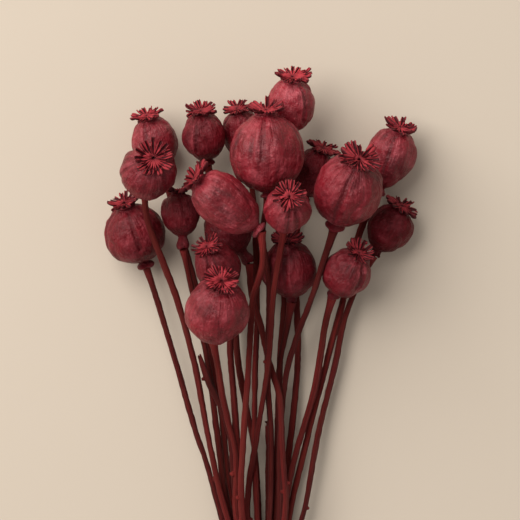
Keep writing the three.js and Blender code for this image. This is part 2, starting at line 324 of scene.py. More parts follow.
def store(item, name, values):
    """Keeps one number or one vector for each vertex, for the materials to read."""
    vectors = hasattr(values[0], "__len__")
    kind = "FLOAT_VECTOR" if vectors else "FLOAT"
    layer = item.data.attributes.get(name)
    if layer is None:
        layer = item.data.attributes.new(name, kind, "POINT")
    if vectors:
        layer.data.foreach_set("vector", [c for value in values for c in value])
    else:
        layer.data.foreach_set("value", values)


def smooth_line(points, steps):
    """Points on a smooth curve through the given ones, steps to each span."""
    ends = [points[0] * 2 - points[1], *points, points[-1] * 2 - points[-2]]
    line = []
    for a, b, c, d in zip(ends, ends[1:], ends[2:], ends[3:]):
        for step in range(steps):
            t = step / steps
            line.append(
                0.5
                * (
                    2 * b
                    + (c - a) * t
                    + (2 * a - 5 * b + 4 * c - d) * t * t
                    + (3 * b - a - 3 * c + d) * t * t * t
                )
            )
    line.append(points[-1].copy())
    return line


def finish_piece(item, name, node):
    """Names a piece and ties it to the frame."""
    item.name = name
    item.data.name = name
    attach(item, "root")
    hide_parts(node)


# ---------------------------------------------------------------- materials


class Shader:
    """A small helper that adds and links shader nodes."""

    def __init__(self, name):
        self.material = bpy.data.materials.new(name)
        self.material.use_nodes = True
        self.tree = self.material.node_tree
        self.surface = self.tree.nodes["Principled BSDF"]

    def add(self, kind, settings=None, **inputs):
        node = self.tree.nodes.new(kind)
        for key, value in (settings or {}).items():
            setattr(node, key, value)
        for key, value in inputs.items():
            socket = node.inputs[key.replace("_", " ")]
            if isinstance(value, bpy.types.NodeSocket):
                self.tree.links.new(value, socket)
            else:
                socket.default_value = value
        return node

    def attribute(self, name, vector=False):
        node = self.add("ShaderNodeAttribute", {"attribute_name": name})
        return node.outputs["Vector" if vector else "Fac"]

    def place(self):
        return self.add("ShaderNodeTexCoord").outputs["Object"]

    def stretch(self, vector, scale):
        node = self.add("ShaderNodeMapping", Vector=vector, Scale=scale)
        return node.outputs["Vector"]

    def noise(self, vector, scale, detail=4.0, roughness=0.55):
        node = self.add(
            "ShaderNodeTexNoise",
            Vector=vector,
            Scale=scale,
            Detail=detail,
            Roughness=roughness,
        )
        return node.outputs["Fac"]

    def creases(self, vector, scale, detail=3.0):
        """Thin branching lines, bright where a crease runs."""
        node = self.add(
            "ShaderNodeTexNoise",
            {"noise_type": "RIDGED_MULTIFRACTAL", "normalize": True},
            Vector=vector,
            Scale=scale,
            Detail=detail,
            Roughness=0.5,
            Gain=1.6,
        )
        return node.outputs["Fac"]

    def remap(self, value, low, high, to_low=0.0, to_high=1.0):
        node = self.add("ShaderNodeMapRange", Value=value)
        node.inputs["From Min"].default_value = low
        node.inputs["From Max"].default_value = high
        node.inputs["To Min"].default_value = to_low
        node.inputs["To Max"].default_value = to_high
        return node.outputs["Result"]

    def math(self, operation, a, b):
        node = self.add("ShaderNodeMath", {"operation": operation})
        for socket, value in zip(node.inputs, (a, b)):
            if isinstance(value, bpy.types.NodeSocket):
                self.tree.links.new(value, socket)
            else:
                socket.default_value = value
        return node.outputs["Value"]

    def mix(self, share, a, b, blend="MIX"):
        node = self.add("ShaderNodeMix", {"data_type": "RGBA", "blend_type": blend})
        for index, value in ((0, share), (6, a), (7, b)):
            socket = node.inputs[index]
            if isinstance(value, bpy.types.NodeSocket):
                self.tree.links.new(value, socket)
            elif index == 0:
                socket.default_value = value
            else:
                socket.default_value = (*value[:3], 1.0)
        return node.outputs[2]

    def relief(self, height, strength, distance, below=None):
        node = self.add("ShaderNodeBump", Height=height, Strength=strength, Distance=distance)
        if below is not None:
            self.tree.links.new(below, node.inputs["Normal"])
        return node.outputs["Normal"]

    def finish(self, colour, roughness, normal, **fixed):
        self.tree.links.new(colour, self.surface.inputs["Base Color"])
        self.tree.links.new(roughness, self.surface.inputs["Roughness"])
        self.tree.links.new(normal, self.surface.inputs["Normal"])
        for key, value in fixed.items():
            self.surface.inputs[key.replace("_", " ")].default_value = value
        return self.material


def pod_skin(look):
    """Papery, dusty skin: mottled, streaked from base to crown, creased and veined."""
    s = Shader("poppy_pod_skin")
    here = s.place()
    turned = s.attribute("pod_place", vector=True)
    rib = s.attribute("rib")
    tone = s.attribute("tone")
    blotch = s.remap(s.noise(here, 48.0, 5.0, 0.6), 0.34, 0.68)
    streak = s.remap(s.noise(s.stretch(turned, (5.5, 5.5, 1.3)), 1.0, 5.0, 0.65), 0.34, 0.68)
    fleck = s.remap(s.noise(here, 420.0, 3.0, 0.6), 0.58, 0.74)
    crease = s.remap(s.creases(s.stretch(turned, (3.0, 3.0, 1.5)), 1.0), 0.62, 0.9)
    crumple = s.remap(s.creases(here, 95.0, 4.0), 0.5, 0.95)
    colour = s.mix(blotch, look.deep, look.mid)
    colour = s.mix(s.math("MULTIPLY", streak, 0.6), colour, look.mid)
    # Random patches of dusty bloom, in the colour that also paints the highlight on the ribs.
    dust_and_highlight = s.remap(s.noise(here, 85.0, 5.0, 0.68), 0.49, 0.68)
    colour = s.mix(s.math("MULTIPLY", dust_and_highlight, 0.28), colour, look.dust_and_highlight)
    # Painted highlight, partly real bloom: the raised ribs are lightened towards the dusty
    # colour.
    rib_bloom_and_highlight = s.math("MULTIPLY", s.remap(rib, 0.55, 0.9), s.remap(streak, 0.1, 0.9))
    colour = s.mix(s.math("MULTIPLY", rib_bloom_and_highlight, 0.45), colour, look.dust_and_highlight)
    # Painted shade: the furrows between the ribs, the sunk creases and the crumples are darkened
    # towards the deep colour.
    furrow = s.math("MULTIPLY", s.remap(rib, 0.3, 0.0), 0.5)
    colour = s.mix(furrow, colour, look.deep)
    colour = s.mix(s.math("MULTIPLY", crease, 0.5), colour, look.deep)
    colour = s.mix(s.math("MULTIPLY", crumple, 0.3), colour, look.deep)
    colour = s.mix(s.math("MULTIPLY", fleck, 0.3), colour, look.dust_and_highlight)
    # Painted shade, partly: each head's skin is darkened or lightened by its tone, which also
    # stands in for shade on heads in shadow.
    colour = s.mix(1.0, colour, s.mix(tone, (0.5, 0.42, 0.44), (1.4, 1.45, 1.45)), "MULTIPLY")
    roughness = s.remap(s.noise(here, 200.0), 0.3, 0.7, 0.36, 0.5)
    fine = s.relief(s.noise(here, 900.0, 4.0), 0.5, 0.0006)
    lines = s.relief(s.noise(s.stretch(turned, (12.0, 12.0, 2.5)), 1.0, 4.0), 0.7, 0.0016, fine)
    folds = s.relief(s.math("SUBTRACT", 1.0, crease), 0.6, 0.0009, lines)
    crumpled = s.relief(
        s.math("SUBTRACT", s.noise(here, 150.0, 5.0, 0.6), s.math("MULTIPLY", crumple, 0.7)),
        0.8,
        0.0026,
        folds,
    )
    shine = s.remap(tone, 0.0, 1.0, 0.12, 0.55)
    s.tree.links.new(shine, s.surface.inputs["Specular IOR Level"])
    return s.finish(colour, roughness, crumpled)


def ray_skin(look):
    """The folded rays of the crown: painted highlight on the lips, painted shade in the grooves
    and towards the middle, and browned tips.
    """
    s = Shader("poppy_ray_skin")
    here = s.place()
    lip = s.attribute("lip")
    reach = s.attribute("reach")
    mottle = s.noise(here, 330.0, 4.0)
    # Painted highlight and shade: the raised lips of each ray are lightened and its grooves
    # darkened.
    edge = s.remap(s.math("ADD", lip, s.math("MULTIPLY", mottle, 0.6)), 0.35, 1.15)
    colour = s.mix(edge, look.ray_groove_shade, look.ray_lip_highlight)
    browned = s.math("MULTIPLY", s.remap(reach, 0.8, 1.0), s.remap(mottle, 0.35, 0.6))
    colour = s.mix(s.math("MULTIPLY", browned, 0.55), colour, look.ray_tip)
    # Painted shade: the rays darken towards the crown's sunken middle.
    centre = s.remap(reach, 0.05, 0.3, 0.7, 0.0)
    colour = s.mix(centre, colour, look.ray_groove_shade)
    # Painted shade, partly: the crown takes its head's tone, which also stands in for shade on
    # heads in shadow.
    tone = s.attribute("tone")
    colour = s.mix(1.0, colour, s.mix(tone, (0.7, 0.66, 0.66), (1.25, 1.3, 1.3)), "MULTIPLY")
    roughness = s.remap(mottle, 0.3, 0.7, 0.55, 0.75)
    normal = s.relief(s.noise(here, 700.0, 4.0), 0.5, 0.0007)
    return s.finish(colour, roughness, normal, Specular_IOR_Level=0.25)


def stem_bark(look):
    """Dry stalk, streaked lengthwise, redder where it meets the seed head."""
    s = Shader("poppy_stem_bark")
    here = s.place()
    turned = s.attribute("stem_place", vector=True)
    tone = s.attribute("tone")
    top = s.attribute("top")
    streak = s.remap(s.noise(s.stretch(turned, (2.2, 2.2, 9.0)), 1.0, 5.0, 0.6), 0.3, 0.7)
    thread = s.noise(s.stretch(turned, (5.0, 5.0, 14.0)), 1.0, 4.0, 0.6)
    blotch = s.remap(s.noise(here, 60.0, 4.0), 0.35, 0.7)
    colour = s.mix(streak, look.deep, look.mid)
    colour = s.mix(s.math("MULTIPLY", blotch, 0.5), colour, look.brown)
    colour = s.mix(s.math("MULTIPLY", s.remap(thread, 0.55, 0.75), 0.45), colour, look.pale)
    colour = s.mix(s.math("MULTIPLY", top, 0.6), colour, look.pale)
    colour = s.mix(1.0, colour, s.mix(tone, (0.6, 0.55, 0.55), (1.5, 1.4, 1.4)), "MULTIPLY")
    roughness = s.remap(streak, 0.0, 1.0, 0.55, 0.78)
    fine = s.relief(s.noise(here, 1300.0, 3.0), 0.25, 0.0003)
    normal = s.relief(thread, 0.9, 0.0024, fine)
    return s.finish(colour, roughness, normal, Specular_IOR_Level=0.2)


def twine_fibre(look):
    """Hairy natural twine, its fibres running along each strand."""
    s = Shader("twine_fibre")
    here = s.place()
    turned = s.attribute("stem_place", vector=True)
    fibre = s.noise(s.stretch(turned, (4.0, 4.0, 60.0)), 1.0, 4.0, 0.65)
    colour = s.mix(s.remap(fibre, 0.3, 0.7), look.dark, look.light)
    colour = s.mix(s.math("MULTIPLY", s.noise(here, 240.0), 0.4), colour, look.dark)
    roughness = s.remap(fibre, 0.3, 0.7, 0.75, 0.95)
    return s.finish(colour, roughness, s.relief(fibre, 0.7, 0.0005), Sheen_Weight=0.2)


def floor_finish(look):
    """Plain painted surface, very slightly uneven."""
    s = Shader("plain_floor")
    here = s.place()
    cloud = s.noise(here, 2.2, 3.0)
    colour = s.mix(cloud, look.floor_dark, look.floor_light)
    roughness = s.remap(s.noise(here, 30.0), 0.3, 0.7, 0.85, 0.95)
    return s.finish(colour, roughness, s.relief(s.noise(here, 500.0), 0.05, 0.0003))


# ---------------------------------------------------------------- seed heads


def dish(share, look):
    """How far a crown rises above its middle, as a share of its radius, at a share of that."""
    return look.cup * max(share, 0.0) ** 2


def body_outline(head, look):
    """The turned outline of collar, stalk, pod and crown disc, from foot to crown centre."""
    rings = [Vector((radius, height)) for height, radius in head["outline"]]
    base, crown = head["crown_height"], head["crown_radius"]
    rings[-1].x = min(rings[-1].x, look.neck * crown)
    body = smooth_line(rings, 3)
    neck = rings[-1].x
    body += [Vector((neck * 0.97, base - 0.4 * MM)), Vector((neck * 1.08, base))]
    disc = [(look.disc * share, drop) for share, drop in DISC_EDGE]
    for share, drop in (*disc, *DISC_INSIDE):
        height = base + dish(share, look) * crown + CROWN_LIFT - drop
        body.append(Vector((share * crown, height)))
    return body


def turn_body(head, columns, look):
    """Extrudes a circle up the outline, ring by ring, and closes it at both ends."""
    outline = body_outline(head, look)
    start_clean()
    bpy.ops.mesh.primitive_circle_add(
        vertices=columns, radius=outline[0].x, fill_type="NGON", location=(0, 0, outline[0].y)
    )
    body = bpy.context.object
    bpy.ops.object.transform_apply(location=True, rotation=True, scale=True)
    bpy.ops.object.mode_set(mode="EDIT")
    bpy.ops.mesh.select_all(action="SELECT")
    for below, above in zip(outline, outline[1:]):
        bpy.ops.mesh.extrude_region_move(
            TRANSFORM_OT_translate={"value": (0, 0, above.y - below.y)}
        )
        share = above.x / below.x
        bpy.ops.transform.resize(value=(share, share, 1), center_override=(0, 0, above.y))
    bpy.ops.mesh.merge(type="CENTER")
    bpy.ops.object.mode_set(mode="OBJECT")
    return body


def press_ribs(body, head, columns, look, chance, fold_count):
    """Raises the ribs, sinks the furrows and pinches a few of them into deep folds."""
    rays = head["rays"]
    pod_low = head["outline"][POD_START][0]
    tall = head["outline"][-1][0] - pod_low
    folds = chance.sample(range(rays), fold_count)

    def column(co):
        return round(math.atan2(co.y, co.x) / (2 * math.pi) * columns) % columns

    def band(co, low, high):
        share = (co.z - pod_low) / tall
        return low <= share < high

    def press(share, test):
        pick(body, test)
        bpy.ops.transform.resize(value=(share, share, 1), center_override=(0, 0, 0))

    edit(body)
    for rib in range(rays):
        crest = COLUMNS_PER_RIB * rib
        furrow = crest + COLUMNS_PER_RIB // 2
        own = chance.uniform(0.2, 1.6) * look.rib
        for low, high, weight in RIB_BANDS:
            press(1 + own * weight, lambda co: band(co, low, high) and column(co) == crest)
            press(1 - own * weight, lambda co: band(co, low, high) and column(co) == furrow)
    for fold in folds:
        at = COLUMNS_PER_RIB * fold + COLUMNS_PER_RIB // 2
        deep = 1 - look.fold * chance.uniform(0.4, 1.0)
        low = chance.uniform(0.15, 0.5)
        press(deep, lambda co: band(co, low, 0.97) and column(co) == at)
        beside = (at + chance.choice((-1, 1))) % columns
        press(1 + look.fold * 0.3, lambda co: band(co, low, 0.9) and column(co) == beside)
    bpy.ops.object.mode_set(mode="OBJECT")


def model_ray(look):
    """One folded crown ray along +X, one unit long, to be copied round every crown."""
    start_clean()
    bpy.ops.mesh.primitive_grid_add(x_subdivisions=8, y_subdivisions=6, size=1)
    ray = bpy.context.object
    ray.name = "ray_pattern"
    thick = look.ray_thickness
    edit(ray)
    bpy.ops.mesh.select_all(action="SELECT")
    bpy.ops.transform.translate(value=(0.5, 0, 0))
    bpy.ops.transform.resize(value=(0.95, 1, 1), center_override=(1, 0, 0))
    bpy.ops.mesh.extrude_region_move(TRANSFORM_OT_translate={"value": (0, 0, thick)})
    rows = sorted({round(v.co.x, 4) for v in bmesh.from_edit_mesh(ray.data).verts})
    for low, high, change in RAY_TOP_FOLD:
        pick(ray, lambda co: co.z > thick / 2 and low <= abs(co.y) < high)
        bpy.ops.transform.translate(value=(0, 0, change * thick))
    for low, high, change in RAY_UNDER_FOLD:
        pick(ray, lambda co: -0.01 < co.z < 0.01 * thick and low <= abs(co.y) < high)
        bpy.ops.transform.translate(value=(0, 0, change * thick))
    share_round = 2 * math.pi / PATTERN_RAYS
    for row in rows:
        spread = 1.04 * share_round * max(row, 0.12)
        width = min(spread, look.ray_width)
        height = 1
        if row == rows[-1]:
            width *= 0.86
            height = 0.6
        pick(ray, lambda co: abs(co.x - row) < 0.01)
        bpy.ops.transform.resize(value=(1, width, height), center_override=(row, 0, thick / 2))
        bpy.ops.transform.translate(value=(0, 0, dish(row, look)))
    bpy.ops.object.mode_set(mode="OBJECT")
    outward(ray)
    subdivide(ray, 1)
    # lip: 1 on the raised lips, where the ray skin paints its highlight, and 0 in the grooves,
    # where it paints shade.
    lips = []
    reach = []
    for vertex in ray.data.vertices:
        x, y, z = vertex.co
        local = (z - dish(x, look)) / thick
        lips.append(min(1.0, max(0.0, (local - 0.58) / 0.5)))
        reach.append(min(1.0, max(0.0, x)))
    store(ray, "lip", lips)
    store(ray, "reach", reach)
    return ray


def set_crown(pattern, head, look, chance):
    """Copies the ray round the crown, and bends every copy a little differently."""
    count = head["rays"]
    crown = pattern.copy()
    crown.data = pattern.data.copy()
    bpy.context.collection.objects.link(crown)
    radius = head["crown_radius"]
    base = head["crown_height"] + CROWN_LIFT
    crown.scale = (radius, radius * PATTERN_RAYS / count, radius)
    crown.location = (0, 0, base)
    choose(crown)
    bpy.ops.object.transform_apply(location=True, rotation=True, scale=True)
    size = len(crown.data.vertices)
    edit(crown)
    bpy.ops.mesh.select_all(action="SELECT")
    bpy.ops.mesh.spin(
        steps=count - 1,
        dupli=True,
        angle=2 * math.pi * (count - 1) / count,
        center=(0, 0, 0),
        axis=(0, 0, 1),
    )
    shape = bmesh.from_edit_mesh(crown.data)
    shape.verts.ensure_lookup_table()
    centre = Vector((0, 0, base))
    lift = chance.uniform(-0.05, 0.12)
    for ray in range(count):
        block = shape.verts[ray * size:(ray + 1) * size]
        middle = sum((v.co for v in block), Vector()) / size
        out = Vector((middle.x, middle.y, 0)).normalized()
        side = Vector((-out.y, out.x, 0))
        swing = Matrix.Rotation(chance.gauss(0, 0.04), 3, "Z")
        tilt = -chance.gauss(lift, 0.11)
        roll = chance.gauss(0, 0.3)
        longer = chance.uniform(0.88, 1.0)
        for vertex in block:
            away = (vertex.co - centre) * longer
            bend = (away.length / radius) ** 1.5
            turn = Matrix.Rotation(tilt * bend, 3, side) @ Matrix.Rotation(roll * bend, 3, out)
            vertex.co = centre + swing @ (turn @ away)
    bmesh.update_edit_mesh(crown.data)
    bpy.ops.object.mode_set(mode="OBJECT")
    return crown


def tip_crown(item, head, turn, angle):
    """Bends a crown up from its pod's axis, away from the floor."""
    up = turn.inverted() @ Vector((0, 0, 1))
    side = Vector((0, 0, 1)).cross(up).normalized()
    centre = Vector((0, 0, head["crown_height"]))
    tip = Matrix.Rotation(math.radians(angle), 3, side)
    for vertex in item.data.vertices:
        if vertex.co.z > centre.z - 0.2 * MM:
            vertex.co = centre + tip @ (vertex.co - centre)


def mark_pod(body, head, tone):
    """Keeps, for the materials, where on the pod each point is, and how far it stands out."""
    low = head["outline"][POD_START][0]
    tall = head["outline"][-1][0] - low
    step = LEVEL / 2
    rings = {}
    for vertex in body.data.vertices:
        radius = math.hypot(vertex.co.x, vertex.co.y)
        rings.setdefault(round(vertex.co.z / step), []).append(radius)
    usual = {level: sorted(radii)[len(radii) // 2] for level, radii in rings.items()}
    places = []
    ribs = []
    for vertex in body.data.vertices:
        angle = math.atan2(vertex.co.y, vertex.co.x)
        share = (vertex.co.z - low) / tall
        places.append((math.cos(angle), math.sin(angle), share * 1.5 + 10 * tone))
        # rib: 1 where the skin stands out, where the skin paints its highlight, and 0 in the
        # furrows, where it paints shade.
        middle = usual[round(vertex.co.z / step)]
        stands = math.hypot(vertex.co.x, vertex.co.y) - middle
        ribs.append(min(1.0, max(0.0, 0.5 + stands / (0.05 * middle + 0.1 * MM))))
    store(body, "pod_place", places)
    store(body, "rib", ribs)
    store(body, "tone", [tone] * len(ribs))


def build_head(node, index, look, pattern, materials):
    """One whole seed head: collar, stalk, pod and crown."""
    chance = random.Random(100 + index)
    head = measure_head(node)
    columns = COLUMNS_PER_RIB * head["rays"]
    tone = SKIN_TONES_AND_SHADE[node]
    body = turn_body(head, columns, look)
    press_ribs(body, head, columns, look, chance, FOLDS.get(node, USUAL_FOLDS))
    subdivide(body, 2)
    mark_pod(body, head, tone)
    crown = set_crown(pattern, head, look, chance)
    store(crown, "tone", [tone] * len(crown.data.vertices))
    turn = Vector((0, 0, 1)).rotation_difference(head["axis"])
    for item in (body, crown):
        tip_crown(item, head, turn, CROWN_TIP.get(node, USUAL_CROWN_TIP))
    for item, material in ((body, materials[0]), (crown, materials[1])):
        item.data.materials.clear()
        item.data.materials.append(material)
    choose(body, crown)
    bpy.ops.object.join()
    head_object = bpy.context.object
    place = Matrix.Translation(head["foot"]) @ turn.to_matrix().to_4x4()
    grain = bpy.data.objects.new("pod_grain", None)
    grain.matrix_world = place @ Matrix.Diagonal((1, 1, 2.2, 1))
    bpy.context.collection.objects.link(grain)
    set_in_place(head_object, place)
    dents = relief_texture("pod_dents", "CLOUDS", 11 * MM, 1)
    wrinkles = relief_texture("pod_wrinkles", "CLOUDS", 3.8 * MM, 2)
    displace(head_object, dents, look.dent)
    displace(head_object, wrinkles, look.wrinkle, along=grain)
    creases = relief_texture("pod_creases", "MUSGRAVE", 12 * MM, 2)
    displace(head_object, creases, -look.crease, along=grain)
    bpy.data.objects.remove(grain)
    outward(head_object)
    choose(head_object)
    bpy.ops.object.shade_smooth()
    finish_piece(head_object, f"poppy_head_{index:02d}", node)
    return head_object


# ---------------------------------------------------------------- stems and tie


def tube(line, radii, sides):
    """A closed round tube along a line, its radius changing on the way."""
    start_clean()
    bpy.ops.curve.primitive_nurbs_path_add()
    path = bpy.context.object
    curve = path.data
    curve.splines.clear()
    spline = curve.splines.new("POLY")
    spline.points.add(len(line) - 1)
    for point, place, radius in zip(spline.points, line, radii):
        point.co = (*place, 1)
        point.radius = radius
    curve.dimensions = "3D"
    curve.bevel_depth = 1.0
    curve.bevel_resolution = sides // 4 - 1
    curve.use_fill_caps = True
    choose(path)
    bpy.ops.object.convert(target="MESH")
    return bpy.context.object


def mark_tube(item, line, tone, top_length):
    """Keeps, for the materials, where round and along the tube each point is."""
    lengths = [0.0]
    for a, b in zip(line, line[1:]):
        lengths.append(lengths[-1] + (b - a).length)
    places = []
    tops = []
    near = 0
    for vertex in item.data.vertices:
        near = min(
            range(max(0, near - 4), min(len(line), near + 5)),
            key=lambda k: (line[k] - vertex.co).length_squared,
        )
        away = vertex.co - line[near]
        angle = math.atan2(away.z, away.x)
        places.append((math.cos(angle), math.sin(angle), lengths[near] + 3.7 * tone))
        tops.append(max(0.0, 1 - lengths[near] / top_length))
    store(item, "stem_place", places)
    store(item, "top", tops)
    store(item, "tone", [tone] * len(tops))


def nearest_to(line, reach):
    """The number of the point of a stem's line that lies so far from the tie."""
    return min(range(len(line)), key=lambda k: abs(line[k].y - TIE_MIDDLE.y - reach))


def add_scar(stem, line, at, radius, side):
    """A small knobbly scar with a broken stub, where a side shoot was pulled off."""
    along = (line[min(at + 1, len(line) - 1)] - line[at - 1]).normalized()
    across = Vector((side, 0, 0.35))
    out = (across - along * across.dot(along)).normalized()
    bpy.ops.mesh.primitive_ico_sphere_add(subdivisions=3, radius=radius)
    knob = bpy.context.object
    edit(knob)
    pick(knob, lambda co: co.z > 0.75 * radius)
    bpy.ops.transform.translate(value=(0, 0, 0.7 * radius))
    bpy.ops.mesh.select_all(action="SELECT")
    bpy.ops.transform.resize(value=(0.75, 1.3, 0.9), center_override=(0, 0, 0))
    bpy.ops.object.mode_set(mode="OBJECT")
    turn = Matrix((along.cross(out), along, out)).transposed().to_4x4()
    place = Matrix.Translation(line[at] + out * radius * 1.1) @ turn
    set_in_place(knob, place)
    displace(knob, relief_texture("scar_lumps", "CLOUDS", 1.2 * MM, 2), radius * 0.7)
    choose(stem, knob)
    bpy.ops.object.join()
    return bpy.context.object


def end_faces(item, middle, direction, reach):
    """In edit mode, selects the flat end of a stem that faces a direction."""
    shape = bmesh.from_edit_mesh(item.data)
    shape.faces.ensure_lookup_table()
    for face in shape.faces:
        near = (face.calc_center_median() - middle).length < reach
        face.select_set(near and face.normal.dot(direction) > 0.9)
    bmesh.update_edit_mesh(item.data)


def hollow_end(stem, line, radius):
    """Sinks the dry pith into the cut end of a stem."""
    outward(stem)
    direction = (line[-1] - line[-2]).normalized()
    inwards = -direction * 2.2 * radius
    edit(stem, "FACE")
    end_faces(stem, line[-1], direction, radius)
    bpy.ops.mesh.inset(thickness=0.3 * radius, depth=0)
    bpy.ops.mesh.extrude_region_move(TRANSFORM_OT_translate={"value": inwards})
    bpy.ops.transform.resize(value=(0.7, 0.7, 0.7), center_override=line[-1] + inwards)
    bpy.ops.object.mode_set(mode="OBJECT")


def tear_end(stem, line, radius, chance):
    """Pulls the top of a broken stem out into ragged fibres."""
    top = line[0]
    direction = (top - line[1]).normalized()

    def at_top(co):
        away = co - top
        return away.length < 1.8 * radius and away.dot(direction) > -0.3 * radius

    edit(stem)
    pick(stem, at_top)
    shape = bmesh.from_edit_mesh(stem.data)
    for vertex in shape.verts:
        if vertex.select:
            vertex.co += direction * chance.uniform(-0.3, 1.7) * radius
    bmesh.update_edit_mesh(stem.data)
    bpy.ops.object.mode_set(mode="OBJECT")


def build_stem(node, index, look, material, chance):
    """One stem, from its seed head or its broken top to its cut end."""
    points, radius = measure_stem(node)
    broken = node in CUT_STEM_NODES
    line = smooth_line(points, look.smoothness)
    radii = []
    along = 0.0
    full = radius * look.girth * chance.uniform(0.92, 1.06)
    widening = -0.4 if broken else look.flare
    for before, point in zip([line[0], *line], line):
        along += (point - before).length
        flare = 1 + widening * math.exp(-along / look.flare_length)
        sway = 1 + 0.05 * math.sin(along * 90 + index) + 0.06 * math.sin(along * 37 + 2 * index)
        radii.append(full * flare * sway)
    stem = tube(line, radii, STEM_SIDES)
    if broken:
        tear_end(stem, line, radius, chance)
    hollow_end(stem, line, radii[-1])
    below_tie = (chance.uniform(-0.08, -0.03), chance.choice((-1, 1)))
    for reach, side in (*SCARS.get(node, ()), below_tie):
        size = full * chance.uniform(0.6, 0.8)
        stem = add_scar(stem, line, nearest_to(line, reach), size, side)
    tone = min(1.0, max(0.0, chance.gauss(0.45, 0.22)))
    displace(stem, relief_texture("stem_lumps", "CLOUDS", 4 * MM, 1), look.lumps)
    mark_tube(stem, line, 0.0 if broken else tone, RED_TOP)
    stem.data.materials.clear()
    stem.data.materials.append(material)
    outward(stem)
    choose(stem)
    bpy.ops.object.shade_smooth_by_angle(angle=math.radians(50))
    return bpy.context.object


def build_tie(look, material):
    """Three-strand twine wound round the stems."""
    outer = (TIE_HIGH.x - TIE_LOW.x) / 2
    winding = outer - look.twine / 2 - 0.1 * MM
    width = TIE_HIGH.y - TIE_LOW.y - look.twine
    steps = STEPS_PER_TURN * look.turns
    twists = 2 * math.pi * winding * look.turns / look.lay
    offset = 0.26 * look.twine
    strands = []
    for strand in range(STRANDS):
        line = []
        for step in range(steps + 1):
            share = step / steps
            angle = 2 * math.pi * look.turns * share
            twist = 2 * math.pi * (twists * share + strand / STRANDS)
            out = winding + offset * math.cos(twist)
            along = (share - 0.5) * width + offset * math.sin(twist)
            place = Vector((out * math.cos(angle), along, out * math.sin(angle)))
            line.append(TIE_MIDDLE + place)
        item = tube(line, [0.25 * look.twine] * len(line), STRAND_SIDES)
        mark_tube(item, line, 0.3 * strand, 1.0)
        strands.append(item)
    choose(*strands)
    bpy.ops.object.join()
    tie = bpy.context.object
    tie.data.materials.clear()
    tie.data.materials.append(material)
    outward(tie)
    choose(tie)
    bpy.ops.object.shade_smooth()
    finish_piece(tie, "twine_tie", TIE_NODE)
    return tie


# ---------------------------------------------------------------- properties


def colour_property(name, description, default):
    """A colour that the user may change."""
    return bpy.props.FloatVectorProperty(
        name=name, description=description, subtype="COLOR", size=3, min=0, max=1, default=default
    )


def length_property(name, description, default):
    """A length in metres that the user may change."""
    return bpy.props.FloatProperty(
        name=name, description=description, unit="LENGTH", precision=5, min=0, default=default
    )


def share_property(name, description, default):
    """A share from 0 to 1 that the user may change."""
    return bpy.props.FloatProperty(
        name=name, description=description, subtype="FACTOR", min=0, max=1, default=default
    )


class PoppyHeadLook(bpy.types.PropertyGroup):
    """Sizes and colours of the seed heads"""

    # The deep colour is the darkest dye, and it is also painted into the pods' furrows, creases
    # and crumples as shade.
    deep: colour_property("Deep colour", "Skin in its darkest dye", (0.07, 0.003, 0.006))
    mid: colour_property("Skin colour", "Skin where the dye is even", (0.25, 0.009, 0.019))
    # The dusty colour is real bloom in random patches and flecks, and also the painted highlight
    # on the raised ribs.
    dust_and_highlight: colour_property("Dusty colour", "Bloom on the high parts", (0.64, 0.125, 0.155))
    # The ray edge colour is a painted highlight on the raised lips of the rays. The ray groove
    # colour is painted shade in their grooves and the crown's middle.
    ray_lip_highlight: colour_property("Ray edge", "Raised edges of the rays", (0.36, 0.027, 0.038))
    ray_groove_shade: colour_property("Ray groove", "Grooves of the rays", (0.055, 0.002, 0.005))
    ray_tip: colour_property("Ray tip", "Browned tips of the rays", (0.17, 0.018, 0.02))
    rib: share_property("Rib height", "Share of the pod's radius", 0.007)
    fold: share_property("Fold depth", "Share of the pod's radius", 0.085)
    ray_width: share_property("Ray width", "Share of the crown's radius", 0.27)
    ray_thickness: share_property("Ray thickness", "Share of the crown's radius", 0.11)
    cup: share_property("Crown depth", "Share of the crown's radius", 0.2)
    disc: share_property("Crown disc", "Share of the crown's radius", 0.6)
    neck: share_property("Neck", "Share of the crown's radius", 0.56)
    dent: length_property("Dents", "How far the skin is dented", 1.6 * MM)
    wrinkle: length_property("Wrinkles", "How far the skin is wrinkled", 0.7 * MM)
    crease: length_property("Creases", "How deep the skin is creased", 0.9 * MM)


class PoppyStemLook(bpy.types.PropertyGroup):
    """Sizes and colours of the stems"""

    deep: colour_property("Deep colour", "Darkest streaks", (0.06, 0.005, 0.004))
    mid: colour_property("Bark colour", "Even bark", (0.19, 0.012, 0.011))
    brown: colour_property("Brown", "Less dyed bark", (0.15, 0.02, 0.013))
    pale: colour_property("Pale streaks", "Raised threads of the bark", (0.34, 0.034, 0.034))
    girth: share_property("Girth", "Share of the frame's stem radius", 0.88)
    flare: share_property("Flare", "How much wider a stem is under its seed head", 0.6)
    flare_length: length_property("Flare length", "How fast the top narrows", 5 * MM)
    lumps: length_property("Lumps", "How uneven the bark is", 0.6 * MM)
    smoothness: bpy.props.IntProperty(
        name="Smoothness", description="Steps between measured points", min=1, default=9
    )


class PoppyTieLook(bpy.types.PropertyGroup):
    """Sizes and colours of the tie"""

    light: colour_property("Light fibre", "Light fibres", (0.50, 0.36, 0.20))
    dark: colour_property("Dark fibre", "Dark fibres", (0.22, 0.14, 0.07))
    twine: length_property("Twine", "Diameter of the twine", 2.5 * MM)
    lay: length_property("Lay", "Length of one twist", 7 * MM)
    turns: bpy.props.IntProperty(
        name="Turns", description="Turns of twine", min=1, default=5
    )


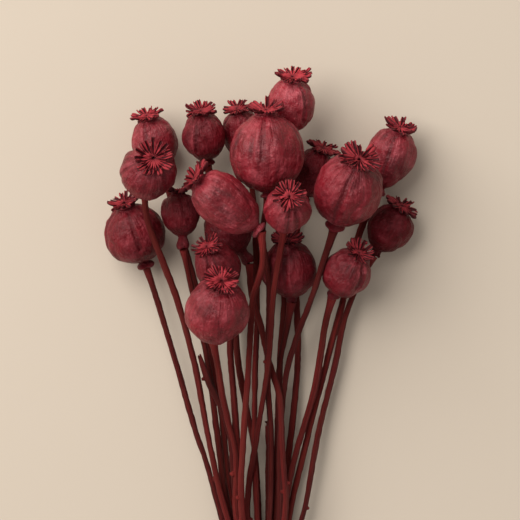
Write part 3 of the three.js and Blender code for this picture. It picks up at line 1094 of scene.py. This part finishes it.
class PoppyStageLook(bpy.types.PropertyGroup):
    """Floor, light and camera"""

    floor_light: colour_property("Floor, light", "Floor colour", (0.63, 0.545, 0.452))
    floor_dark: colour_property("Floor, dark", "Floor colour", (0.612, 0.528, 0.432))
    distance: length_property("Camera height", "Above the middle of the heads", 1.6)
    frame_width: length_property("Frame width", "Width in view at that height", 0.312)
    key: bpy.props.FloatProperty(name="Key light", description="Power", unit="POWER", default=104)
    fill: bpy.props.FloatProperty(name="Fill light", description="Strength", default=0.38)


# ---------------------------------------------------------------- operators


class POPPY_OT_seed_heads(bpy.types.Operator):
    """Model every seed head"""

    bl_idname = "poppy.seed_heads"
    bl_label = "Seed heads"

    def execute(self, context):
        look = context.scene.poppy_heads
        pattern = model_ray(look)
        materials = (pod_skin(look), ray_skin(look))
        for index, node in enumerate(HEAD_NODES, start=1):
            build_head(node, index, look, pattern, materials)
        bpy.data.objects.remove(pattern)
        return {"FINISHED"}


class POPPY_OT_stems(bpy.types.Operator):
    """Model every stem, with and without a seed head"""

    bl_idname = "poppy.stems"
    bl_label = "Stems"

    def execute(self, context):
        look = context.scene.poppy_stems
        material = stem_bark(look)
        for index, node in enumerate(STEM_NODES + CUT_STEM_NODES, start=1):
            chance = random.Random(500 + index)
            stem = build_stem(node, index, look, material, chance)
            finish_piece(stem, f"poppy_{node}", node)
        return {"FINISHED"}


class POPPY_OT_tie(bpy.types.Operator):
    """Wind the twine round the stems"""

    bl_idname = "poppy.tie"
    bl_label = "Tie"

    def execute(self, context):
        look = context.scene.poppy_tie
        build_tie(look, twine_fibre(look))
        return {"FINISHED"}


class POPPY_OT_stage(bpy.types.Operator):
    """Lay out the floor, the lights and the camera"""

    bl_idname = "poppy.stage"
    bl_label = "Stage"

    def execute(self, context):
        look = context.scene.poppy_stage
        start_clean()
        bpy.ops.mesh.primitive_plane_add(size=12, location=(0, 0, 0))
        floor = context.object
        floor.name = "floor"
        floor.data.materials.append(floor_finish(look))
        middle = Vector((TIE_MIDDLE.x + VIEW_ASIDE, TIE_MIDDLE.y + VIEW_ALONG, VIEW_HEIGHT))
        bpy.ops.object.light_add(type="AREA", location=middle + KEY_PLACE)
        key = context.object
        key.data.size = KEY_SIZE
        key.data.energy = look.key
        key.data.color = KEY_COLOUR
        key.rotation_euler = (middle - key.location).to_track_quat("-Z", "Y").to_euler()
        world = context.scene.world or bpy.data.worlds.new("studio")
        context.scene.world = world
        world.use_nodes = True
        background = world.node_tree.nodes["Background"]
        background.inputs["Color"].default_value = FILL_COLOUR
        background.inputs["Strength"].default_value = look.fill
        bpy.ops.object.camera_add(location=middle + Vector((0, 0, look.distance)))
        camera = context.object
        camera.rotation_euler = (0, 0, 0)
        camera.data.sensor_width = SENSOR_WIDTH
        camera.data.lens = SENSOR_WIDTH * look.distance / look.frame_width
        camera.data.clip_end = 50
        context.scene.camera = camera
        context.scene.view_settings.view_transform = "Standard"
        return {"FINISHED"}


class POPPY_PT_bunch(bpy.types.Panel):
    """Lists the pieces of the bunch"""

    bl_idname = "POPPY_PT_bunch"
    bl_label = "Poppy seed heads"
    bl_space_type = "VIEW_3D"
    bl_region_type = "UI"
    bl_category = "Poppy"

    def draw(self, context):
        for group, operator in PANEL_ROWS:
            box = self.layout.box()
            look = getattr(context.scene, group)
            for name in look.bl_rna.properties.keys():
                if name not in ("rna_type", "name"):
                    box.prop(look, name)
            box.operator(operator)


PANEL_ROWS = (
    ("poppy_heads", "poppy.seed_heads"),
    ("poppy_stems", "poppy.stems"),
    ("poppy_tie", "poppy.tie"),
    ("poppy_stage", "poppy.stage"),
)
LOOKS = {
    "poppy_heads": PoppyHeadLook,
    "poppy_stems": PoppyStemLook,
    "poppy_tie": PoppyTieLook,
    "poppy_stage": PoppyStageLook,
}
CLASSES = (
    *LOOKS.values(),
    POPPY_OT_seed_heads,
    POPPY_OT_stems,
    POPPY_OT_tie,
    POPPY_OT_stage,
    POPPY_PT_bunch,
)


def register():
    for cls in CLASSES:
        bpy.utils.register_class(cls)
    for name, look in LOOKS.items():
        setattr(bpy.types.Scene, name, bpy.props.PointerProperty(type=look))


def unregister():
    for name in LOOKS:
        delattr(bpy.types.Scene, name)
    for cls in reversed(CLASSES):
        bpy.utils.unregister_class(cls)


def main():
    register()
    for _, operator in PANEL_ROWS:
        group, name = operator.split(".")
        getattr(getattr(bpy.ops, group), name)()


if __name__ == "__main__":
    main()
